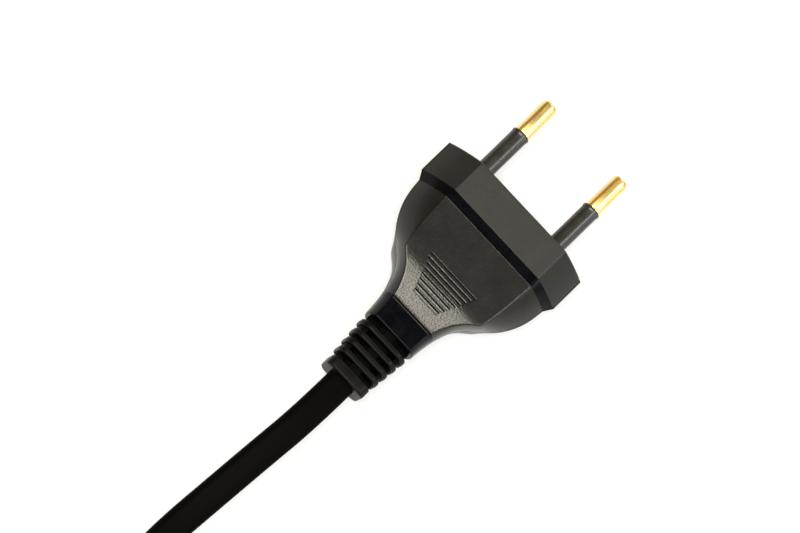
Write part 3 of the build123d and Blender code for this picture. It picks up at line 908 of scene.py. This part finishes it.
body_y = np.concatenate([flange_y, shoulder_y, grip_rows, rear_y])
middle_sizes = np.stack(grip_sizes(grip_rows), axis=-1)
body_sizes = np.concatenate([flange_sizes, shoulder_sizes, middle_sizes, rear_sizes])
print("rows of the body:", len(body_y))

# %% [markdown]
# One function turns the three sizes of a row into its points. It works on all rows at once: each size is a
# column of numbers, and numpy spreads it over the points of its row. Only the upper right quarter is worked
# out. The others are its mirror images, because the mould's two halves are alike.

# %% Section of the body
BULGE = 0.37  # how far the sides arch out from their chord
CREASE = 0.28  # how far from the corner the crease between top and side starts to turn
END_MARGIN = 0.8  # the grooves end at least this far inside the flat's edge
END_SOFT = 0.06  # length of the wall at a groove's end
END_SHARE = 0.4  # of the groove's depth, where that wall starts
SEAM_FROM = 0.12  # the mould's parting seam starts this far from the parting line, on the side
SEAM_STEP, SEAM_FOOT, SEAM_HALF = 0.05, 0.04, 0.035  # how far it stands out, its foot and its half thickness
INNER_COLUMNS = np.linspace(0, 1, 14)
OUTER_COLUMNS = np.linspace(0, 1, 15)[1:]
CREASE_COLUMNS = np.linspace(0, 1, 6)[1:]
SIDE_COLUMNS = np.linspace(0, 1, 15)[1:]


def body_section(y, sizes):
    """Rows of points round the body. In the upper right quarter the flat top runs out to the crease, a
    quadratic Bezier turns into the side, and the side is a chord with a bulge of 4 t (1 - t) square to it.
    The other quarters mirror it."""
    width, height, flat = (column[:, None] for column in sizes.T)
    ends = np.interp(y, [LAST_GROOVE_Y, GROOVE_Y], GROOVE_ENDS[::-1])[:, None]
    ends = np.minimum(ends, flat - END_MARGIN)
    depth = groove_depth(y)[:, None]
    chord = np.hypot(width - flat, height)
    inner = INNER_COLUMNS * (ends - END_SOFT)
    walls = ends + np.array([0.0, END_SOFT])
    outer = ends + END_SOFT + OUTER_COLUMNS * (flat - CREASE - ends - END_SOFT)
    top_x = np.concatenate([inner, walls, outer], axis=1)
    cut = np.concatenate([np.ones(len(INNER_COLUMNS)), [END_SHARE, 0.0], np.zeros(len(OUTER_COLUMNS))])
    top_z = height - depth * cut
    along = (CREASE + SIDE_COLUMNS * (chord - SEAM_FROM - CREASE)) / chord

    def side(t):
        """Point of the side at t, from 0 at the flat's edge to 1 at the parting line."""
        arch = BULGE * 4 * t * (1 - t)
        return (
            flat + (width - flat) * t + arch * height / chord,
            height * (1 - t) + arch * (width - flat) / chord,
        )

    join_x, join_z = side(CREASE / chord)
    t = CREASE_COLUMNS
    crease_x = (1 - t) ** 2 * (flat - CREASE) + 2 * t * (1 - t) * flat + t**2 * join_x
    crease_z = (1 - t) ** 2 * height + 2 * t * (1 - t) * height + t**2 * join_z
    side_x, side_z = side(along)
    side_x = side_x - SEAM_STEP * SIDE_COLUMNS
    seam_x, seam_z = width - SEAM_FOOT, np.full_like(width, SEAM_HALF)
    x = np.concatenate([top_x, crease_x, side_x, seam_x, width], axis=1)
    z = np.concatenate([top_z, crease_z, side_z, seam_z, np.zeros_like(width)], axis=1)
    x_round = np.concatenate([x, x[:, -2::-1], -x[:, 1:], -x[:, -2:0:-1]], axis=1)
    z_round = np.concatenate([z, -z[:, -2::-1], -z[:, 1:], z[:, -2:0:-1]], axis=1)
    return np.stack([x_round, np.broadcast_to(y[:, None], x_round.shape), z_round], axis=-1)


body_rows = body_section(body_y, body_sizes)
print("points round the body:", body_rows.shape[1])

# %% [markdown]
# The front face is flat and holds the carrier, whose outline is a stadium: all points at one distance from
# a straight line. The points of the flat top and underside go to the stadium's straight sides, those of the
# bulging sides go round its ends, and from there all go into the pocket behind the face. So the same rows
# go on and the skin stays closed.

# %% Front face and carrier pocket
POCKET_ROUND = 4.33  # the stadium's distance from its line
POCKET_LINE = 9.2  # half length of that line
POCKET_DEPTH = 2.25
FACE_FLAT = 10.8  # half width of the front edge's straight top

edge_x, edge_z = body_rows[0, :, 0], body_rows[0, :, 2]
on_flat = np.clip(edge_x, -FACE_FLAT, FACE_FLAT)
near_x = on_flat * POCKET_LINE / FACE_FLAT
reach = unit(np.stack([edge_x - on_flat, edge_z], axis=-1))
pocket_x, pocket_z = near_x + POCKET_ROUND * reach[:, 0], POCKET_ROUND * reach[:, 1]
pocket = np.stack([pocket_x, np.zeros(len(pocket_x)), pocket_z], axis=-1)
pocket_back = pocket - [0, POCKET_DEPTH, 0]
inwards = np.linspace(1, 0, 6)[1:-1, None, None]
face_rows = body_rows[0] + inwards * (pocket - body_rows[0])
body_rows = np.concatenate([[pocket_back, pocket], face_rows, body_rows])
print("rows with the front:", len(body_rows))

# %% [markdown]
# ## The strain relief
#
# Four rings and a collar, joined by a thin web at the parting plane and, in turn, by a post in the middle or
# by webs at the sides. On the real plug a two-part mould makes this pattern in one shot. Cutting the windows
# out of a block would take booleans, which leave ragged faces. Instead each ring, post and web is a closed
# bar of its own, and the bars reach a little into each other. Every bar is a rounded rectangle carried a
# short way along Y, with its edges rounded.

# %% Rings and collar
RING_FRONT, RING_PITCH, RING_THICK, RING_COUNT = -35.15, 2.15, 1.15, 4
RING_WIDTH, RING_TAPER, RING_EDGE = 11.2, 0.42, 0.34
RELIEF_HEIGHT, RELIEF_FLAT = 7.4, 5.9
COLLAR_Y, COLLAR_LENGTH, COLLAR_WIDTH, COLLAR_EDGES = -44.0, 2.15, 9.4, (0.3, 0.42)
LEAST_CORNER = 0.02  # no corner gets sharper than this


def bar(y_front, y_back, width, height, corner, edges):
    """A rounded rectangle carried from one Y to another. Near each end its outline shrinks by
    e (1 - sin a) while Y moves by e (1 - cos a), which rounds the edge. edges are e in front and behind."""
    front, back = edges
    a = np.linspace(0, math.pi / 2, 8)
    y = np.concatenate([y_front - front * (1 - np.cos(a)), y_back + back * (1 - np.cos(a[::-1]))])
    inset = np.concatenate([front * (1 - np.sin(a)), back * (1 - np.sin(a[::-1]))])
    rows = np.stack([
        rounded_outline(width - 2 * d, height - 2 * d, max(corner - d, LEAST_CORNER), 10) for d in inset
    ])
    return np.stack([rows[..., 0], np.broadcast_to(y[:, None], rows.shape[:2]), rows[..., 1]], axis=-1)


def relief_ring(front, length, width, edges):
    """A ring or the collar: its sides are round and its top and underside have a flat of one width."""
    return bar(front, front - length, width, RELIEF_HEIGHT, (width - RELIEF_FLAT) / 2, edges)


ring_fronts = [RING_FRONT - i * RING_PITCH for i in range(RING_COUNT)]
ring_edges = (RING_EDGE, RING_EDGE)
relief_skins = [
    relief_ring(front, RING_THICK, RING_WIDTH - i * RING_TAPER, ring_edges)
    for i, front in enumerate(ring_fronts)
]
relief_skins.append(relief_ring(COLLAR_Y, COLLAR_LENGTH, COLLAR_WIDTH, COLLAR_EDGES))
print("rings and collar:", len(relief_skins))

# %% Posts and webs between the rings
POST_WIDTH, POST_CORNER = 2.3, 0.15
WEB_HEIGHT, WEB_CORNER, WEB_EDGES = 1.3, 0.3, (0.05, 0.05)
DROP = 0.45  # posts and webs lie this far inside the rings' outline
WINDOW = 6.6  # width of the opening between two side webs
OVERLAP = 0.2  # posts and side webs reach this far into the rings
SHARP = (0.02, 0.02)  # edges that are hidden in the rings
# half height of a side web at shares of its thickness, from the window outwards
SIDE_SHARE, SIDE_HEIGHT = [0.0, 0.25, 0.5, 0.75, 1.0], [3.2, 3.08, 2.8, 2.25, 1.25]


def parting_web():
    """The web at the parting plane: a bar of half width 1 whose x is multiplied by the half width there,
    which falls evenly to the collar."""
    web = bar(NECK_END_Y + 0.3, COLLAR_Y - 0.5, 2.0, WEB_HEIGHT, WEB_CORNER, WEB_EDGES)
    half = np.interp(web[:, :1, 1], [COLLAR_Y, NECK_END_Y], [COLLAR_WIDTH / 2, RING_WIDTH / 2])
    web[..., 0] *= half - DROP
    return web


def side_web(front, back, thickness, sign):
    """A web at one side: a bar with x and z from -1 to 1, where x goes from the window to the outside and z
    is multiplied by the half height there, so that it follows the rings' round side."""
    web = bar(front, back, 2.0, 2.0, 0.5, SHARP)
    share = (web[..., 0] + 1) / 2
    web[..., 0] = sign * (WINDOW / 2 + thickness * share)
    web[..., 2] *= np.interp(share, SIDE_SHARE, SIDE_HEIGHT)
    return web


relief_skins.append(parting_web())
gap_fronts = [NECK_END_Y] + [front - RING_THICK for front in ring_fronts]
gap_backs = ring_fronts + [COLLAR_Y]
for i, (front, back) in enumerate(zip(gap_fronts, gap_backs)):
    front, back = front + OVERLAP, back - OVERLAP
    if i % 2 == 0:
        relief_skins.append(bar(front, back, POST_WIDTH, RELIEF_HEIGHT - 2 * DROP, POST_CORNER, SHARP))
    else:
        half = (RING_WIDTH - (i - 0.5) * RING_TAPER) / 2 - DROP
        relief_skins += [side_web(front, back, half - WINDOW / 2, sign) for sign in (-1, 1)]
print("closed bars in the strain relief:", len(relief_skins))

# %% [markdown]
# Each face of the body takes one of the five finishes, from where its middle lies. Painting them by hand
# would have to be done again after every change of shape, and a rule on the places doesn't. Hardly any light
# comes out of the gaps between the rings, so what lies deep inside the rings' outline gets painted shade: a
# darker, nearly shineless copy of the PVC. The grained sides get painted shade as well.

# %% Zones of the body
# Faces deeper than the next value get painted shade.
PAINTED_SHADE_FROM = 0.40  # faces deeper than this are in the gaps between the rings
CLEAR = 0.01  # keeps the faces at the neck's end and the collar's front on their own side


def relief_depth(middles):
    """How far points lie inside the outline of the rings, in millimetres: the distance to a rounded
    rectangle, which is the corner radius less the distance to its corner's centre."""
    half = np.interp(middles[:, 1], [COLLAR_Y, RING_FRONT], [RING_WIDTH / 2 - 2 * RING_TAPER, RING_WIDTH / 2])
    corner = half - RELIEF_FLAT / 2
    past_x = np.abs(middles[:, 0]) - RELIEF_FLAT / 2
    past_z = np.abs(middles[:, 2]) - (RELIEF_HEIGHT / 2 - corner)
    outside = np.hypot(np.maximum(past_x, 0), np.maximum(past_z, 0))
    return corner - outside - np.minimum(np.maximum(past_x, past_z), 0)


def body_zone(middles):
    """0 on the grained top and underside, 1 on the polished shoulder and neck, 2 on the strain relief, 3 down
    in its gaps, where shade is painted, and 4 on the grained sides, whose less shiny copy of the grained
    finish paints shade on them."""
    y = middles[:, 1]
    grip_flat = grip_sizes(np.clip(y, NECK_END_Y, GRIP_Y))[2]
    flat = np.where(y > SHOULDER_Y, FLANGE[2], grip_flat)
    # the sides take the less shiny copy of the grained finish, which is painted shade
    on_shaded_side = (np.abs(middles[:, 0]) > flat) & (y < -EDGE)
    smooth = (y < LIP_Y - LIP_BACK) | ((y < SHOULDER_Y) & (y > GRIP_Y))
    # faces deep in the gaps get painted shade
    in_painted_shade = (relief_depth(middles) > PAINTED_SHADE_FROM) & (y > COLLAR_Y - CLEAR)
    grained_or_smooth = np.where(smooth, 1, 4 * on_shaded_side)
    return np.where(y < NECK_END_Y - CLEAR, 2 + in_painted_shade, grained_or_smooth).astype(np.int32)


add_piece(
    "body_shell",
    [body_rows, *relief_skins],
    body_finishes,
    ["moulded_body"],
    smooth_angle=38.0,
    zone=body_zone,
)

# %% [markdown]
# ## Pins and sleeves
#
# Each pin is drawn brass with a blunt tip, whose edge is rounded. The end of the rolled metal leaves a small
# slit, which only the right pin shows. Its root wears a black sleeve with a slightly thicker rim. Pins and
# sleeves are round, so they are turned from a profile like the ferrules. The slit isn't round: it is pressed
# into the turned points afterwards, which keeps the skin closed without a boolean.

# %% Pins and sleeves
PIN_X = 9.5
# pairs of y and radius, from the crimp barrel inside the body to the tip
SLEEVE = [
    (-5.9, 1.35), (-5.9, 1.8), (0.0, 1.8), (4.0, 1.8), (9.0, 1.8), (10.05, 1.8), (10.3, 1.83), (10.5, 1.885),
    (10.62, 1.9), (10.74, 1.885), (10.86, 1.83), (10.95, 1.75), (11.0, 1.66), (11.0, 1.62), (10.8, 1.6),
    (10.8, 1.35),
]
PIN = [
    (-13.1, 1.0), (-13.2, 1.25), (-7.3, 1.25), (-7.25, 2.3), (-7.15, 2.4), (-6.1, 2.4), (-6.0, 2.3),
    (-5.95, 1.3), (10.7, 1.3), (10.75, 1.55), (10.9, 1.6), (14.0, 1.6), (17.9, 1.6), (18.25, 1.59),
    (18.45, 1.565), (18.6, 1.52), (18.75, 1.45), (18.86, 1.37), (18.94, 1.27), (18.985, 1.14), (19.0, 1.0),
    (19.0, 0.5), (19.0, 0.05),
]
SLIT_HALF, SLIT_TURN = 0.15, -0.15  # half width, and radians from upright
SLIT_FLOOR, SLIT_WALL = 0.6, 0.8  # shares of the half width over which it is level and rises at each side
SLIT_Y, SLIT_EASE = 18.0, 0.35  # where the slit starts, and how long it takes to reach its depth
SLIT_SHARE = 0.45  # its depth as a share of the radius
TIP_Y, TIP_DIP = 18.5, 0.25  # past this the slit also moves the tip's points back


def press_slit(rows, centre_x):
    """Press the slit into the tip of turned rows. inside is 1 in the slit and eases to 0 at its sides and
    its start; there points come nearer to the axis by that share of the slit's depth."""
    offset_x, offset_z = rows[..., 0] - centre_x, rows[..., 2]
    aside = np.abs(offset_x * math.cos(SLIT_TURN) - offset_z * math.sin(SLIT_TURN))
    outward = offset_x * math.sin(SLIT_TURN) + offset_z * math.cos(SLIT_TURN)
    across = 1 - ease((aside - SLIT_FLOOR * SLIT_HALF) / (SLIT_WALL * SLIT_HALF))
    inside = across * (outward > -SLIT_HALF) * ease((rows[..., 1] - SLIT_Y) / SLIT_EASE)
    shrink = 1 - SLIT_SHARE * inside
    rows[..., 0] = centre_x + offset_x * shrink
    rows[..., 2] = offset_z * shrink
    rows[..., 1] -= TIP_DIP * inside * (rows[..., 1] > TIP_Y)


for side, x in (("left", -PIN_X), ("right", PIN_X)):
    sleeve_rows = turned(SLEEVE, (x, 0.0), 96)
    add_piece(f"sleeve_{side}", [sleeve_rows], [sleeve_pvc], [f"pin_sleeve_{side}"], 40.0)
    pin_rows = turned(PIN, (x, 0.0), 128)
    if side == "right":
        press_slit(pin_rows, x)
    add_piece(f"brass_pin_{side}", [pin_rows], [brass], [f"pin_{side}"], 40.0)

# %% [markdown]
# ## The parts inside
#
# The carrier shows at the front face; the cores, the strands and the held stretch of cord are inside the
# body. Their CAD shapes are right, so they stay and only get their finishes. The held cord shows in the gaps
# between the rings, so it gets the painted shade of those gaps, a darker and nearly shineless finish.

# %% Finishes for the CAD pieces that stay
STAYING = {
    "pin_carrier": carrier_plastic,
    "core_left": core_blue,
    "core_right": core_brown,
    "conductor_left": copper,
    "conductor_right": copper,
    "cord_held": painted_shade_finish,
}
for name, material in STAYING.items():
    node = bpy.data.objects[name]
    node.data.materials.clear()
    node.data.materials.append(material)
print("CAD pieces with a finish:", len(STAYING))

# %% [markdown]
# ## Floor, light and background
#
# The floor is white and still takes the object's soft shadow: part of its brightness is its own light, seen
# only by camera, glossy and transmission rays, so the object mirrors it but gets no diffuse light from it. A
# black object is lit mostly by what it mirrors, so the room round it matters as much as the lamps. Between
# the lamps the shiny parts mirror a warm grey ceiling on the left, a darker one over the plug, a dim warm
# wall on the left and a paler, cool one on the right. These four cards glow by themselves, and the camera
# looks through them.

# %% Floor
FLOOR_REACH = 4.0
FLOOR_GREY = 0.45  # the part of its brightness that the lamps light, and that a shadow can darken
FLOOR_GLOW = 0.47  # the part that it gives by itself


def stage_plane(name, corners, material):
    """A four-cornered plane of the stage."""
    mesh = bpy.data.meshes.new(name)
    mesh.from_pydata(corners, [], [(0, 1, 2, 3)])
    mesh.materials.append(material)
    plane = bpy.data.objects.new(name, mesh)
    bpy.context.scene.collection.objects.link(plane)
    return plane


def seen_by_eye(nodes, links):
    """1 for camera, glossy and transmission rays, and 0 for those that light the object."""
    path = nodes.new("ShaderNodeLightPath").outputs
    seen = combine(nodes, links, "MAXIMUM", path["Is Camera Ray"], path["Is Glossy Ray"])
    return combine(nodes, links, "MAXIMUM", seen, path["Is Transmission Ray"])


floor_white, nodes, links = new_material("floor_white")
shader = nodes["Principled BSDF"]
shader.inputs["Base Color"].default_value = (FLOOR_GREY, FLOOR_GREY, FLOOR_GREY, 1)
shader.inputs["Roughness"].default_value = 0.9
shader.inputs["Specular IOR Level"].default_value = 0.0
shader.inputs["Emission Color"].default_value = (1, 1, 1, 1)
glow = combine(nodes, links, "MULTIPLY", seen_by_eye(nodes, links), FLOOR_GLOW)
links.new(glow, shader.inputs["Emission Strength"])
floor_z = cad_box[0][2]
far = FLOOR_REACH
floor_corners = [(-far, -far, floor_z), (far, -far, floor_z), (far, far, floor_z), (-far, far, floor_z)]
stage_plane("floor", floor_corners, floor_white)
print("floor at:", round(floor_z, 4), "m")

# %% Ceiling and walls
CEILING_Z = 2.6
CEILING_GAP = 0.05  # the dark stretch hangs this far under the grey one
WALL_X = 2.7


def glowing_card(name, colour, corners):
    """A stage plane that glows evenly in one colour. The camera looks through it, so it never hides the
    object in a view from far above or from the side."""
    card, nodes, links = new_material(name)
    shader = nodes["Principled BSDF"]
    shader.inputs["Base Color"].default_value = (0, 0, 0, 1)
    shader.inputs["Specular IOR Level"].default_value = 0.0
    shader.inputs["Emission Color"].default_value = (*colour, 1)
    shader.inputs["Emission Strength"].default_value = 1.0
    stage_plane(name, corners, card).visible_camera = False


def ceiling_corners(x_low, x_high, y_low, y_high, z):
    """Corners of a level rectangle that faces down."""
    return [(x_low, y_low, z), (x_low, y_high, z), (x_high, y_high, z), (x_high, y_low, z)]


def wall_corners(x):
    """Corners of an upright rectangle from the floor to the ceiling."""
    return [(x, -far, 0.0), (x, far, 0.0), (x, far, CEILING_Z), (x, -far, CEILING_Z)]


# name, colour of the glow and corners
CARDS = [
    ("grey_ceiling", (0.34, 0.30, 0.20), ceiling_corners(-2.6, -0.4, -3.6, 2.6, CEILING_Z)),
    ("dark_ceiling", (0.11, 0.11, 0.10), ceiling_corners(-0.42, 0.42, -3.6, 1.7, CEILING_Z - CEILING_GAP)),
    ("left_wall", (0.27, 0.20, 0.085), wall_corners(-WALL_X)),
    ("right_wall", (0.30, 0.31, 0.31), wall_corners(WALL_X)),
]
for card in CARDS:
    glowing_card(*card)
print("cards:", len(CARDS))

# %% [markdown]
# The lamps are large soft boxes: a warm key box nearly overhead, a cool one low on the right, a narrow strip
# on the upper right, and a weak one in front of the pins. The world gives a low even light. To the camera,
# and in what the shiny parts mirror, it is white, so the picture's ground is white past the floor too.

# %% Lamps and world
MIDDLE_Y = -0.02  # the lamps face this point of the Y axis, in metres
WORLD_LIGHT = 0.16


def soft_box(name, direction, distance, size, power, colour):
    """An area lamp at a distance in a direction from the plug, facing it. Its first side lies as near to X
    as it can, and the second is square to that."""
    lamp = bpy.data.lights.new(name, "AREA")
    lamp.shape = "RECTANGLE"
    lamp.size, lamp.size_y = size
    lamp.energy = power
    lamp.color = colour
    holder = bpy.data.objects.new(name, lamp)
    towards = Vector(direction).normalized()
    across = (Vector((1, 0, 0)) - towards * towards.x).normalized()
    turn = Matrix((across, towards.cross(across), towards)).transposed().to_4x4()
    holder.matrix_world = Matrix.Translation(towards * distance + Vector((0, MIDDLE_Y, 0))) @ turn
    bpy.context.scene.collection.objects.link(holder)


def from_angles(towards_x, towards_back):
    """Direction that leans from upright by these degrees towards +X and towards -Y."""
    a, b = math.radians(towards_x), math.radians(towards_back)
    return (math.tan(a), -math.tan(b), 1.0)


# name, direction, distance and sides in metres, power in watts, colour
LAMPS = [
    ("key_box", from_angles(-13, 14), 2.3, (1.8, 0.62), 77, (1.0, 0.97, 0.90)),
    ("right_box", (0.94, -0.05, 0.34), 2.2, (0.8, 1.6), 16, (0.94, 1.0, 1.04)),
    ("strip_box", from_angles(37, -12), 2.3, (0.42, 1.5), 23, (1.0, 0.98, 0.94)),
    ("front_box", (0.1, 0.95, 0.35), 2.4, (1.6, 0.5), 8, (1.0, 1.0, 1.0)),
]
for lamp in LAMPS:
    soft_box(*lamp)
print("lamps:", len(LAMPS))

world = bpy.data.worlds.new("studio")
world.use_nodes = True
bpy.context.scene.world = world
nodes, links = world.node_tree.nodes, world.node_tree.links
background = nodes["Background"]
background.inputs["Color"].default_value = (1, 1, 1, 1)
level = remap(nodes, links, seen_by_eye(nodes, links), 0, 1, WORLD_LIGHT, 1.0)
links.new(level, background.inputs["Strength"])
bpy.context.scene.view_settings.view_transform = "Standard"
